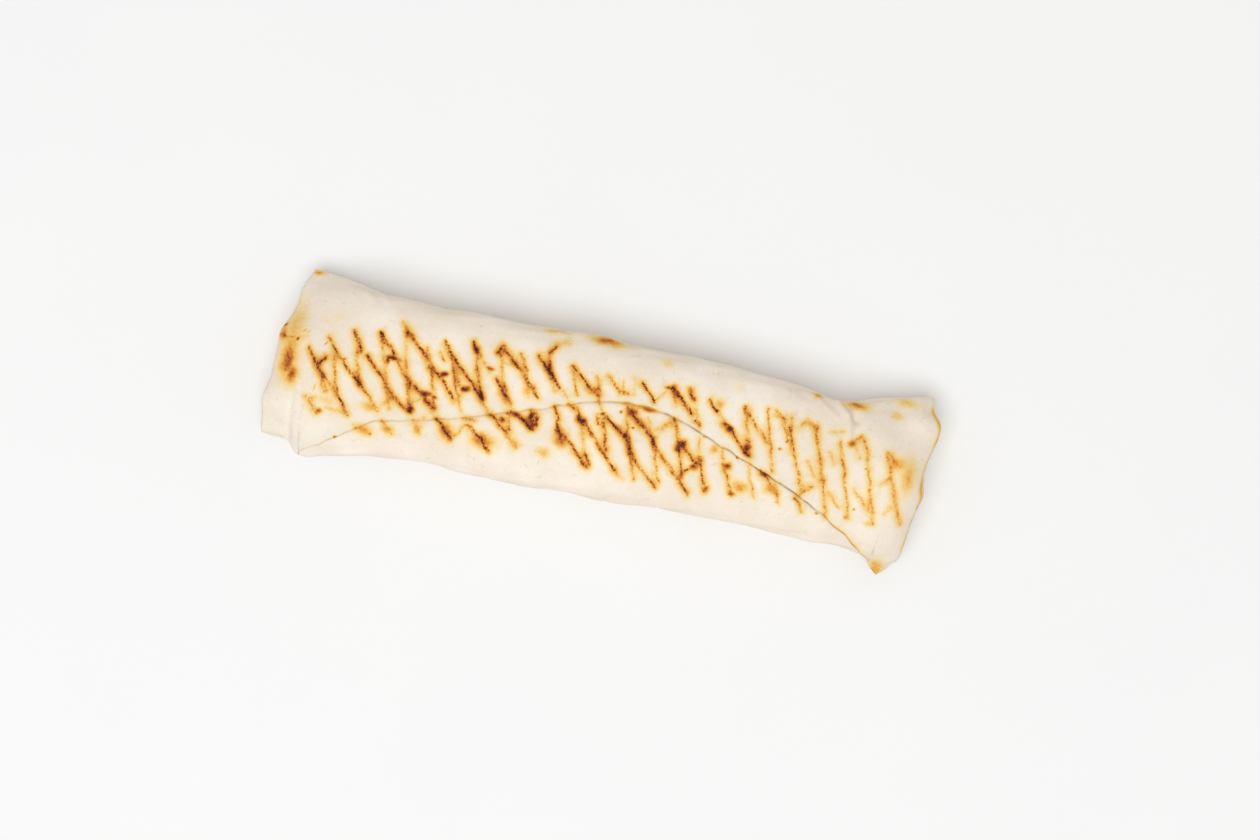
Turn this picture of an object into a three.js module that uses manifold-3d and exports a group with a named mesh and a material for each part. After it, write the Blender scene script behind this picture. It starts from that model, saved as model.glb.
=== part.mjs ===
// A grilled flatbread wrap, pressed in a contact grill and lying on its flat underside.
//
// One sheet of thin flatbread is rolled round its filling and both ends are folded in, so the
// outside is bread all over: a plump roll with a flat crown, two flattened and flared ends where
// the folded turns lie on each other, and the sheet's free edge, which crosses the crown in a
// long arc from one lower corner to the other.
//
// Millimetres. +X runs along the roll, +Y is the side that the outer turn comes up from, +Z is up.
// The origin is under the middle of the roll, on the face that it rests on.

import * as THREE from "three";
import Module from "manifold-3d";
import { mergeVertices } from "three/addons/utils/BufferGeometryUtils.js";

const wasm = await Module();
wasm.setup();

// ---- Driving dimensions ----

const HEIGHT = 37; // crown of the roll, where the upper plate pressed it
const SHEET = 1.4; // the flatbread's thickness
const WAIST = HEIGHT / 2; // height at which the roll is widest

const SHOULDER = 13; // length over which an end rises to the full crown
const BLUNT = 0.62; // the smaller, the blunter that rise
const HEM = 25; // top of an end's folded edge, at its middle
const HEM_MIDDLE = 8.5; // height of the flat corners of an end
const HEM_UNDERSIDE = 3; // the ends lift clear of the table by this much
const FLARE_LENGTH = 42; // the waist comes down to the hem over this length
const BOXY = 3; // superellipse exponent of the body: a flat crown with round sides
const LENS_LEFT = 1.5; // the same at the left end: thick in the middle, thin at the corners
const LENS_RIGHT = 2.5; // the same at the right end, which is squarer

const FLATTENED = 0.8; // how much of the underside the lower plate flattened away
const INNER_SHORT = 1.2; // the inner turns end this far inside the outer one
const FOLDS = 5; // turns of the sheet that show as stacked folds at an end
const FOLD_BULGE = 1.1; // how far each of those folds rounds out

// Half outlines of the roll seen from above, as [x, y].
const FAR_SIDE = [
  [-143, 38.9],
  [-130, 38.5],
  [-112, 36.8],
  [-94, 34.4],
  [-40, 34.4],
  [36, 34.3],
  [58, 33.5],
  [76, 31.9],
  [98, 28.8],
  [112, 31.7],
  [138, 37.9],
  [143, 38.7],
];
const NEAR_SIDE = [
  [-143, -33.0],
  [-130, -33.6],
  [-121, -37.8],
  [-101, -34.6],
  [-80, -32.0],
  [-58, -31.2],
  [-12, -33.4],
  [28, -32.0],
  [60, -30.4],
  [93, -31.0],
  [115, -31.9],
  [124, -33.6],
  [129, -38.6],
  [133, -33.6],
  [143, -31.0],
];

// The two end lines seen from above, as [y, x].
const LEFT_END = [
  [-34, -141.6],
  [-19, -142.4],
  [-5, -139.6],
  [10, -139.8],
  [20, -136.0],
  [40, -132.0],
];
const RIGHT_END = [
  [-40, 136.2],
  [-20, 137.6],
  [-9, 139.9],
  [0, 138.6],
  [12, 140.4],
  [23, 142.4],
  [30, 139.6],
  [39, 136.8],
];

// The sheet's free edge where it shows from above, as [x, y].
const FREE_EDGE = [
  [-122, -36.0],
  [-105, -25.2],
  [-91, -17.8],
  [-50, -6.8],
  [-10, 6.6],
  [15, 10.7],
  [40, 5.2],
  [79, -9.6],
  [109, -24.2],
  [125, -34.0],
];
const EDGE_TURN_UNDER = 0.06; // past those points the edge runs under the roll, radians per mm
const TURN_START = THREE.MathUtils.degToRad(-100); // where the outer turn parts from the next one in
const TURN_RISE = THREE.MathUtils.degToRad(50); // angle over which it comes up to its full thickness
const ROOTED = 0.9; // depth of the outer turn's inner face in the turn below
const TUCKED = 0.23; // depth at which the outer turn's outer face starts

// The pleat at the right end, where the round roll folds into its flat corner.
const PLEAT = { x: 99, y: 30, dx: 9, dy: -11, width: 4.5, depth: 2.2 };
const CORNER = { x: 95, y: 31, dx: 25, dy: -19, rampWidth: 14, drop: 0.34 };

// Soft unevenness of the filling under the sheet.
const LUMPS = { height: 0.55, alongMm: 41, around: 3 };

const STATIONS = 60; // steps along the roll
const AROUND = 44; // steps round it, an even number
const TURN_STEPS = 22; // steps across the outer turn
const FOLD_STEPS = 3; // steps on each fold at an end
const BUNCHED = 0.8; // how far the stations crowd towards the ends, 0 to 1
const JOIN = 1e-4; // points closer than this are one point
const TABLE = { length: 400, width: 200, depth: 40 }; // the block that cuts the underside flat

// ---- Small helpers ----

const lerp = THREE.MathUtils.lerp;

const signedPower = (value, power) =>
  Math.sign(value) * Math.abs(value) ** power;

// A smooth curve through [at, value] pairs.
function through(pairs) {
  const at = pairs.map((pair) => pair[0]);
  const values = pairs.map((pair) => pair[1]);
  const cubic = new THREE.CubicInterpolant(at, values, 1);
  return (where) => cubic.evaluate(where)[0];
}

// From 0 at the end line to 1 at the given length, steep at first and level at the last.
const rounded = (distance, length) =>
  Math.sin((Math.PI / 2) * Math.min(distance / length, 1)) ** BLUNT;

const farSide = through(FAR_SIDE);
const nearSide = through(NEAR_SIDE);
const leftEnd = through(LEFT_END);
const rightEnd = through(RIGHT_END);
const freeEdge = through(FREE_EDGE);

// ---- The roll's surface ----

const LEFT_MIDDLE = leftEnd(0);
const LENGTH = rightEnd(0) - LEFT_MIDDLE;

// x of the point at share t along the roll and lateral position -1 to 1 across it.
function alongAt(t, lateral) {
  const across = (lateral + 1) / 2;
  const left = leftEnd(lerp(LEFT_END[0][0], LEFT_END.at(-1)[0], across));
  const right = rightEnd(lerp(RIGHT_END[0][0], RIGHT_END.at(-1)[0], across));
  return lerp(left, right, t);
}

// How tall the roll is at share t along it, and how square its section.
function section(t) {
  const fromEnd = Math.min(t, 1 - t) * LENGTH;
  const settled = THREE.MathUtils.smoothstep(fromEnd, 0, FLARE_LENGTH);
  const risen = rounded(fromEnd, SHOULDER);
  const crown = lerp(HEM, HEIGHT - SHEET, risen);
  const underside = lerp(HEM_UNDERSIDE, -FLATTENED, risen);
  const waist = lerp(HEM_MIDDLE, WAIST, settled);
  const squarer = THREE.MathUtils.smoothstep(t, 0.6, 1);
  const lens = lerp(LENS_LEFT, LENS_RIGHT, squarer);
  return {
    waist,
    up: crown - waist,
    down: waist - underside,
    power: lerp(lens, BOXY, settled),
  };
}

// Dents and lumps, as a move outwards along the surface's normal.
function relief(x, y, angle) {
  const { x: px, y: py, dx, dy, width, depth } = PLEAT;
  const length = Math.hypot(dx, dy);
  const along = ((x - px) * dx + (y - py) * dy) / length;
  const beside = ((x - px) * dy - (y - py) * dx) / length;
  const fade = THREE.MathUtils.smoothstep(length - along, 0, length);
  const onTop = THREE.MathUtils.smoothstep(Math.sin(angle), 0, 0.3);
  const pleat = -depth * Math.exp(-((beside / width) ** 2)) * fade * onTop;
  const wave = Math.sin(
    (2 * Math.PI * x) / LUMPS.alongMm + LUMPS.around * angle,
  );
  return pleat + LUMPS.height * wave * Math.abs(Math.cos(angle));
}

// How much of the height is left over the flat corner, where no filling lies under the sheet.
function cornerShare(x, y) {
  const { x: px, y: py, dx, dy, rampWidth, drop } = CORNER;
  const beyond = ((y - py) * dx - (x - px) * dy) / Math.hypot(dx, dy);
  return 1 - drop * THREE.MathUtils.smoothstep(beyond, 0, rampWidth);
}

// The surface point at share t along the roll and angle round it, moved outwards by offset.
// Angle 0 is the far side, a quarter turn is the crown and a half turn the near side.
function surfacePoint(t, angle, offset) {
  const { waist, up, down, power } = section(t);
  const [c, s] = [Math.cos(angle), Math.sin(angle)];
  const lateral = signedPower(c, 2 / power);
  const rise = signedPower(s, 2 / power);
  const x = alongAt(t, lateral);
  const halfWidth = (farSide(x) - nearSide(x)) / 2;
  const y = nearSide(x) + halfWidth * (lateral + 1);
  const halfHeight = s > 0 ? up : down;
  const normal = new THREE.Vector2(
    signedPower(c, 2 - 2 / power) / halfWidth,
    signedPower(s, 2 - 2 / power) / halfHeight,
  ).normalize();
  const tall = Math.min(1, halfHeight / WAIST);
  const out = offset + relief(x, y, angle) * tall;
  const filled = s > 0 ? cornerShare(x, y) : 1;
  return new THREE.Vector3(
    x,
    y + normal.x * out,
    waist + halfHeight * rise * filled + normal.y * out,
  );
}

// The angle of the sheet's free edge at share t along the roll.
function freeEdgeAngle(t) {
  const x = alongAt(t, 0);
  const first = FREE_EDGE[0][0];
  const last = FREE_EDGE.at(-1)[0];
  const shown = THREE.MathUtils.clamp(x, first, last);
  const middle = (farSide(shown) + nearSide(shown)) / 2;
  const lateral = Math.max(
    -1,
    (freeEdge(shown) - middle) / (farSide(shown) - middle),
  );
  const angle = Math.acos(signedPower(lateral, section(t).power / 2));
  return angle + EDGE_TURN_UNDER * Math.abs(x - shown);
}

// Shares along the roll, closer together towards the ends, where the surface turns over.
function stationShare(i) {
  const even = i / STATIONS;
  const bunched = (1 - Math.cos(Math.PI * even)) / 2;
  return lerp(even, bunched, BUNCHED);
}

// ---- Solids ----

function toSolid(geometry) {
  for (const name of ["normal", "uv"]) geometry.deleteAttribute(name);
  const merged = mergeVertices(geometry, JOIN);
  return new wasm.Manifold(
    new wasm.Mesh({
      numProp: 3,
      vertProperties: merged.attributes.position.array,
      triVerts: new Uint32Array(merged.index.array),
    }),
  );
}

function toGeometry(solid) {
  const mesh = solid.getMesh();
  const geometry = new THREE.BufferGeometry();
  geometry.setAttribute(
    "position",
    new THREE.BufferAttribute(mesh.vertProperties, 3),
  );
  geometry.setIndex(new THREE.BufferAttribute(mesh.triVerts, 1));
  geometry.computeVertexNormals();
  return geometry;
}

function geometryOf(points, faces) {
  const geometry = new THREE.BufferGeometry().setFromPoints(points);
  geometry.setIndex(faces);
  return geometry;
}

// Two triangles of a four-cornered face, or one where two corners are the same point.
function pushFace(faces, a, b, c, d) {
  if (a !== b && b !== c) faces.push(a, b, c);
  if (a !== d && c !== d) faces.push(a, c, d);
}

// The inner turns: a closed roll whose ends are stacks of rounded folds.
function innerTurns() {
  const points = [];
  const faces = [];
  const short = INNER_SHORT / LENGTH;
  for (let i = 0; i <= STATIONS; i++) {
    const t = THREE.MathUtils.clamp(stationShare(i), short, 1 - short);
    for (let j = 0; j < AROUND; j++)
      points.push(surfacePoint(t, (2 * Math.PI * j) / AROUND, 0));
  }
  const ring = (i, j) => i * AROUND + ((j + AROUND) % AROUND);
  for (let i = 0; i < STATIONS; i++)
    for (let j = 0; j < AROUND; j++)
      pushFace(
        faces,
        ring(i, j),
        ring(i, j + 1),
        ring(i + 1, j + 1),
        ring(i + 1, j),
      );
  closeEnd(points, faces, (j) => ring(0, j), -1);
  closeEnd(points, faces, (j) => ring(STATIONS, j), 1);
  return toSolid(geometryOf(points, faces));
}

// Closes one end with rows of points from the crown's edge down to the underside's.
function closeEnd(points, faces, ring, outward) {
  const rows = FOLDS * FOLD_STEPS;
  const columns = AROUND / 2;
  const grid = [];
  for (let j = 0; j <= columns; j++) {
    const top = points[ring(j)];
    const bottom = points[ring(-j)];
    const column = [ring(j)];
    for (let k = 1; k < rows; k++) {
      if (j === 0 || j === columns) {
        column.push(ring(j));
        continue;
      }
      const point = top.clone().lerp(bottom, k / rows);
      const thickness = Math.min(1, top.distanceTo(bottom) / HEM_MIDDLE);
      const round = Math.abs(Math.sin((Math.PI * k) / FOLD_STEPS));
      point.x += outward * FOLD_BULGE * round * thickness;
      column.push(points.push(point) - 1);
    }
    column.push(ring(-j));
    grid.push(column);
  }
  for (let j = 0; j < columns; j++)
    for (let k = 0; k < rows; k++) {
      const corners = [
        grid[j][k],
        grid[j][k + 1],
        grid[j + 1][k + 1],
        grid[j + 1][k],
      ];
      if (outward > 0) corners.reverse();
      pushFace(faces, ...corners);
    }
}

// The outer turn: the sheet from where it parts from the roll, over the crown, to its free edge.
function outerTurn() {
  const points = [];
  const faces = [];
  const across = TURN_STEPS + 1;
  const layerSize = (STATIONS + 1) * across;
  for (const inner of [false, true])
    for (let i = 0; i <= STATIONS; i++) {
      const t = stationShare(i);
      const edge = freeEdgeAngle(t);
      for (let j = 0; j <= TURN_STEPS; j++) {
        const angle = lerp(TURN_START, edge, j / TURN_STEPS);
        const risen = THREE.MathUtils.smoothstep(
          angle - TURN_START,
          0,
          TURN_RISE,
        );
        const outer = lerp(-TUCKED, SHEET, risen);
        points.push(surfacePoint(t, angle, inner ? -ROOTED : outer));
      }
    }
  const outer = (i, j) => i * across + j;
  const inner = (i, j) => layerSize + outer(i, j);
  const wall = (i, j, i2, j2) =>
    pushFace(faces, outer(i, j), inner(i, j), inner(i2, j2), outer(i2, j2));
  for (let i = 0; i < STATIONS; i++)
    for (let j = 0; j < TURN_STEPS; j++) {
      pushFace(
        faces,
        outer(i, j),
        outer(i, j + 1),
        outer(i + 1, j + 1),
        outer(i + 1, j),
      );
      pushFace(
        faces,
        inner(i, j),
        inner(i + 1, j),
        inner(i + 1, j + 1),
        inner(i, j + 1),
      );
    }
  for (let i = 0; i < STATIONS; i++) {
    wall(i + 1, 0, i, 0);
    wall(i, TURN_STEPS, i + 1, TURN_STEPS);
  }
  for (let j = 0; j < TURN_STEPS; j++) {
    wall(0, j, 0, j + 1);
    wall(STATIONS, j + 1, STATIONS, j);
  }
  return toSolid(geometryOf(points, faces));
}

// Everything below the table: what it cuts away leaves the flat face that the roll rests on.
const belowTable = toSolid(
  new THREE.BoxGeometry(TABLE.length, TABLE.width, TABLE.depth).translate(
    0,
    0,
    -TABLE.depth / 2,
  ),
);

// ---- The part ----

const flatbread = new THREE.MeshStandardMaterial({
  color: "#efe0cb",
  roughness: 0.8,
  metalness: 0,
});

const wrapSolid = innerTurns().add(outerTurn()).subtract(belowTable);
const wrap = new THREE.Mesh(toGeometry(wrapSolid), flatbread);
wrap.name = "wrap";
wrap.geometry.computeBoundingBox();
const middle = wrap.geometry.boundingBox.getCenter(new THREE.Vector3());
wrap.geometry.translate(-middle.x, -middle.y, 0);

const group = new THREE.Group();
group.add(wrap);

export default group;
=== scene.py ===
"""A grilled flatbread wrap: one thin sheet rolled round its filling, pressed and browned in a ribbed grill.

Everything is worked out in millimetres and turned to metres when a mesh is made. +X runs along the roll,
+Y is the side that the outer turn comes up from, and z = 0 is the face that the roll lies on.
"""

import math

import bmesh
import bpy
import numpy as np
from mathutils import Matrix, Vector


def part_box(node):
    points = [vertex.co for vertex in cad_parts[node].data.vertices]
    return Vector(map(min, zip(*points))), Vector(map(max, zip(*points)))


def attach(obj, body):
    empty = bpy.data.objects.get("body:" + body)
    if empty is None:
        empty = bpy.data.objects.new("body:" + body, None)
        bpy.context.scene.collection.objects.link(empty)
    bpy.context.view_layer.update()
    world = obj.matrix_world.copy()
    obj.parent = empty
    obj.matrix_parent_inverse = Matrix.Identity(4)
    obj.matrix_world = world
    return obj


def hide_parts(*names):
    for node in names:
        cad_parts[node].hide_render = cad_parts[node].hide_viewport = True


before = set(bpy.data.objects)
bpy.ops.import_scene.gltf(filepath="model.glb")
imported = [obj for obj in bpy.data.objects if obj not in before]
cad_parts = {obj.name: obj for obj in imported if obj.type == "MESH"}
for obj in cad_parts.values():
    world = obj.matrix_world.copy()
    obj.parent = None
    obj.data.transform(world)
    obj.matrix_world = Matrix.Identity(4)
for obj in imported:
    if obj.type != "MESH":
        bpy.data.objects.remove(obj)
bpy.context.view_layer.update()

MM = 0.001

# ---- The roll's sizes, in mm ----

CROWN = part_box("wrap")[1].z / MM  # the flat top that the upper grill plate pressed
SHEET = 1.3  # the flatbread's thickness
WAIST = CROWN / 2  # height of the widest line
SHOULDER = 13.0  # an end rises to the full crown over this length
BLUNT = 0.62  # the smaller, the blunter the rise
HEM = 25.0  # height of an end's upper rim
HEM_MIDDLE = 8.5  # height of the widest line at an end
HEM_UNDERSIDE = 3.0  # height of an end's lower rim
FLARE_LENGTH = 42.0  # the flared ends settle into the body's section over this length
BOXY = 3.0  # superellipse exponent of the body's section
LENS = (1.5, 2.5)  # the same at the left end and at the squarer right end
FLATTENED = 0.8  # depth of the underside that the lower plate flattened away

# The two long outlines as (x, y), and the two slanting ends as (y, x).
FAR_SIDE = [
    (-143, 39.1), (-131, 39.0), (-125, 38.0), (-112, 36.7), (-103, 35.2), (-94, 34.0), (-72, 33.4),
    (-50, 33.8), (-7, 34.3), (36, 33.9), (58, 32.5), (76, 30.7), (89, 29.2), (98, 28.2), (103, 29.2),
    (111, 31.8), (127, 35.7), (138, 37.9), (143, 38.7),
]
NEAR_SIDE = [
    (-143, -32.8), (-131, -33.0), (-128.4, -33.7), (-126, -36.4), (-121, -38.0), (-113, -36.4), (-101, -34.2),
    (-80, -32.4), (-58, -31.8), (-36, -32.3), (-14, -32.7), (7, -31.9), (28, -30.5), (50, -30.5), (71, -30.4),
    (93, -31.1), (115, -32.0), (124, -33.2), (129, -33.4), (133, -33.0), (137, -32.4), (143, -32.0),
]
LEFT_END = [
    (-36, -141.3), (-27, -141.5), (-19, -142.4), (-13, -140.6), (-4, -139.6), (4, -139.4), (10, -139.8),
    (16, -137.6), (22, -135.6), (32, -134.8), (40, -132.0),
]
RIGHT_END = [
    (-40, 136.2), (-26, 137.0), (-20, 137.7), (-14, 138.8), (-8, 139.9), (-3, 139.1), (3, 138.5), (8, 139.2),
    (15, 141.2), (21, 142.4), (27, 141.8), (30, 139.5), (39, 136.8),
]
# The sheet's free edge where it shows from above.
FREE_EDGE = [
    (-123.1, -36.6), (-115.1, -31.6), (-107.7, -27.6), (-99.5, -22.1), (-94, -18.6), (-81.6, -15.4),
    (-61.9, -10.5), (-41.2, -4.2), (-21.5, 2.4), (-9.7, 6.6), (7.1, 10.3), (15, 10.7), (23.8, 9.9),
    (32.7, 7.9), (51.4, 1), (70.1, -6), (88.9, -13.6), (107.8, -23.4), (118, -29.1), (124, -33.2),
]
EDGE_FADES = ((-134, -122), (130, 137))  # past these the free edge dies into the folded ends
EDGE_TIP = {"at": 128.8, "before": 5.2, "after": 6.5, "out": 4.6, "reach": 11.0}  # its loose pointed corner
SLOT = 3.2  # how far the gap under the free edge runs in


def through(pairs):
    """A smooth curve through (at, value) pairs, level past its two ends."""
    at, value = np.array(pairs, float).T
    slope = np.gradient(value, at)

    def curve(where):
        where = np.clip(where, at[0], at[-1])
        k = np.clip(np.searchsorted(at, where) - 1, 0, len(at) - 2)
        gap = at[k + 1] - at[k]
        u = (where - at[k]) / gap
        start, end = value[k], value[k + 1]
        bend_in, bend_out = slope[k] * gap, slope[k + 1] * gap
        return (
            start
            + u * bend_in
            + u * u * (3 * (end - start) - 2 * bend_in - bend_out)
            + u**3 * (2 * (start - end) + bend_in + bend_out)
        )

    return curve


far_side, near_side = through(FAR_SIDE), through(NEAR_SIDE)
left_end, right_end = through(LEFT_END), through(RIGHT_END)
free_edge = through(FREE_EDGE)


def smooth(value, low, high):
    """0 up to low, 1 from high on, and a soft step between them."""
    u = np.clip((value - low) / (high - low), 0, 1)
    return u * u * (3 - 2 * u)


def lerp(a, b, share):
    return a + (b - a) * share


def signed_power(value, power):
    """A power that keeps the sign, for squared-off sections."""
    return np.sign(value) * np.abs(value) ** power


WAVES = 14  # sine waves that ripples() adds up


def ripples(seed, size, *places):
    """Smooth random unevenness between about -1 and 1, with humps of the given size."""
    draw = np.random.default_rng(seed)
    total = 0
    for _ in range(WAVES):
        way = draw.normal(size=len(places))
        way *= draw.uniform(0.6, 1.5) * math.pi / size / np.linalg.norm(way)
        total = total + np.sin(sum(p * w for p, w in zip(places, way)) + draw.uniform(0, 2 * math.pi))
    return total / math.sqrt(WAVES)


def bumps(row, *places):
    """Random unevenness in mm from a row of seed, length of a hump and height."""
    seed, size, height = row
    return height * ripples(seed, size, *places)


def to_segment(x, y, x0, y0, x1, y1):
    """Distance from a straight mark, and the signed sideways offset from its line."""
    dx, dy = x1 - x0, y1 - y0
    length = math.hypot(dx, dy)
    along = ((x - x0) * dx + (y - y0) * dy) / length**2
    aside = ((x - x0) * dy - (y - y0) * dx) / length
    beyond = np.maximum(0, np.maximum(-along, along - 1)) * length
    return np.hypot(aside, beyond), aside


# ---- The surface of the roll ----

LENGTH = right_end(0.0) - left_end(0.0)


def along_at(t, lateral):
    """Place along the roll of share t between its slanting ends, from the near side (-1) to the far (1)."""
    across = (lateral + 1) / 2
    left = left_end(lerp(LEFT_END[0][0], LEFT_END[-1][0], across))
    right = right_end(lerp(RIGHT_END[0][0], RIGHT_END[-1][0], across))
    return lerp(left, right, t)


def section(t):
    """Waist height, height above it, depth below it and squareness of the section at share t."""
    from_end = np.minimum(t, 1 - t) * LENGTH
    settled = smooth(from_end, 0, FLARE_LENGTH)
    risen = np.sin(np.pi / 2 * np.clip(from_end / SHOULDER, 0, 1)) ** BLUNT
    crown = lerp(HEM, CROWN - SHEET, risen)
    underside = lerp(HEM_UNDERSIDE, -FLATTENED, risen)
    waist = lerp(HEM_MIDDLE, WAIST, settled)
    lens = lerp(*LENS, smooth(t, 0.6, 1))
    return waist, crown - waist, waist - underside, lerp(lens, BOXY, settled)


# The flat corner at the right end, where no filling lies under the sheet: the line that it starts at,
# and the share of the crown's height that it loses over the ramp.
CORNER = {"x": 95.0, "y": 31.0, "dx": 25.0, "dy": -19.0, "ramp": 17.0, "drop": 0.28}
# Ridges (+) and creases (-) pressed or pulled into the sheet: a line, its half width and its height.
FOLDS = [
    ((89.2, 31.2), (96.9, 27.7), 1.5, 1.25),
    ((96.9, 27.7), (101.8, 23.2), 1.6, 1.45),
    ((101.8, 23.2), (103.6, 15.8), 1.6, 1.1),
    ((93.2, 31.7), (100, 29.2), 1.5, -1.6),
    ((100, 29.2), (105.7, 22.7), 1.9, -2.0),
    ((105.7, 22.7), (107.6, 13.8), 2.2, -0.7),
    ((80.2, 30.2), (89, 27.2), 1.1, 0.5),
    ((89, 27.2), (97.8, 21.7), 1.1, 0.55),
    ((85.2, 29.7), (93.9, 25.2), 1, -0.5),
    ((76.2, 29.2), (85, 25.7), 1, -0.3),
    ((-112.1, 37.5), (-103.7, 30.7), 1, 0.55),
    ((-109.1, 38), (-99.8, 30.7), 1.2, -0.5),
    ((-104, 36), (-96.8, 30.7), 1, 0.35),
    ((-128.6, -11.8), (-128.3, -34), 1.3, -0.7),
    ((-125.8, -13.7), (-125.7, -35), 1.6, 0.45),
    ((-25.8, 25.2), (-24, 27.9), 0.55, -0.6),
    ((-26.7, 25.3), (-25.1, 28.5), 0.5, 0.4),
    ((12, 2.2), (15, 1), 0.5, -0.35),
    ((15, 1), (23.8, -1.8), 0.5, -0.4),
    ((134, 38.1), (136.9, 29.5), 0.9, -0.5),
    ((-139.2, 9.9), (-131.6, 9.9), 0.6, -0.45),
    ((-131.6, 9.9), (-126.4, 10.9), 0.6, -0.3),
    ((130.2, 37.6), (133.9, 27.9), 1, 0.35),
]
# An inner turn ends under the outer one along this line, and shows through as a low step.
INNER_EDGE = through([
    (-121.9, 4.5), (-111.1, 6.2), (-93.4, 9.5), (-86.5, 10.1), (-78.6, 9.5), (-72.7, 8.5), (-63.8, 3),
    (-55, -2.9),
])
INNER_STEP = 0.55

ARM = 24.0  # the skin's mean distance from the roll's middle line, to count mm round the section
# Unevenness of the skin, each as seed, length of a hump and height.
LUMPS, DIMPLES = (3, 34, 0.55), (4, 11, 0.24)  # the filling under the sheet
PUCKERS = ((5, 9, 0.55), (6, 16, 0.35))  # where the folded ends pull at the sheet
PUCKERS_END = 16.0
PLEATS = ((7, 7.5, 0.6), (8, 4.5, 0.3))  # gathers on the flanks beside the ends
PLEATS_END = 34.0
FLANK_RIPPLES = (9, 6.5, 0.3)
CREASES = ((13, 0.45, 0.5), (14, 0.3, 0.4))  # long thin creases on the flanks: seed, slant and depth
CREASE_WIDTH = 0.11  # as a share of the humps whose level lines the creases follow


def corner_share(x, y):
    """Share of the crown's height that is left at a place: less in the flat corner."""
    run = math.hypot(CORNER["dx"], CORNER["dy"])
    beyond = ((y - CORNER["y"]) * CORNER["dx"] - (x - CORNER["x"]) * CORNER["dy"]) / run
    return 1 - CORNER["drop"] * smooth(beyond, 0, CORNER["ramp"])


def relief(x, y, angle):
    """Lumps of the filling, folds, and the low step of the inner turn, outwards from the surface."""
    c, s = np.cos(angle), np.sin(angle)
    on_top = smooth(s, 0.1, 0.5)
    side = np.clip(np.abs(c) * 1.25, 0, 1) ** 2
    flank = smooth(np.abs(c), 0.72, 0.97)
    around = angle * ARM
    from_end = np.clip(np.minimum(x + 141, 139 - x), 0, None)
    out = bumps(LUMPS, x, around) * lerp(0.6, 0.8, side) + bumps(DIMPLES, x, around) * lerp(0.6, 1.0, side)
    puckers = bumps(PUCKERS[0], 0.12 * x, y) + bumps(PUCKERS[1], x, y)
    out = out + np.exp(-from_end / PUCKERS_END) * puckers
    pleats = bumps(PLEATS[0], 0.16 * x, around) + bumps(PLEATS[1], 0.2 * x, around)
    out = out + flank * np.exp(-from_end / PLEATS_END) * pleats
    out = out + flank * bumps(FLANK_RIPPLES, 0.3 * x, around + 0.25 * x)
    for seed, slant, depth in CREASES:
        line = ripples(seed, 15, slant * x, 0.7 * around + 0.12 * x) / CREASE_WIDTH
        there = smooth(ripples(seed + 2, 22, x, around), 0.1, 0.9)
        out = out - depth * flank * there * np.exp(-(line**2))
    for (x0, y0), (x1, y1), width, height in FOLDS:
        distance, _ = to_segment(x, y, x0, y0, x1, y1)
        out = out + on_top * height * np.exp(-((distance / width) ** 2))
    inner = smooth(x, -128, -118) * smooth(-x, 52, 62) * smooth(y, -20, 2)
    return out + on_top * inner * INNER_STEP * smooth(INNER_EDGE(x) - y, -1.2, 1.2)


def skin(t, angle):
    """Points of the roll's surface, the outward direction across the roll, and how full it is there."""
    waist, up, down, power = section(t)
    c, s = np.cos(angle), np.sin(angle)
    lateral = signed_power(c, 2 / power)
    rise = signed_power(s, 2 / power)
    x = along_at(t, lateral)
    half_width = (far_side(x) - near_side(x)) / 2
    y = near_side(x) + half_width * (lateral + 1)
    half_height = np.where(s > 0, up, down)
    ny = signed_power(c, 2 - 2 / power) / half_width
    nz = signed_power(s, 2 - 2 / power) / half_height
    size = np.hypot(ny, nz)
    filled = np.where(s > 0, corner_share(x, y), 1.0)
    z = waist + half_height * rise * filled
    return x, y, z, ny / size, nz / size, np.minimum(1, half_height / WAIST)


def edge_angle(t):
    """Angle of the sheet's free edge at share t, a quarter turn at the crown, and its x."""
    lateral = np.full_like(t, 0.0)
    for _ in range(4):  # the ends slant, so x and the place across settle together
        x = along_at(t, lateral)
        middle, half = (far_side(x) + near_side(x)) / 2, (far_side(x) - near_side(x)) / 2
        lateral = np.clip((free_edge(x) - middle) / half, -1, 1)
        lateral = np.where((x < FREE_EDGE[0][0]) | (x > FREE_EDGE[-1][0]), -1.0, lateral)
    return np.arccos(signed_power(lateral, section(t)[3] / 2)), x


# ---- The marks of the grill ----
# Two pressings left two sets of bars: (x, y) to (x, y), and how hard that stretch was burnt.

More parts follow.
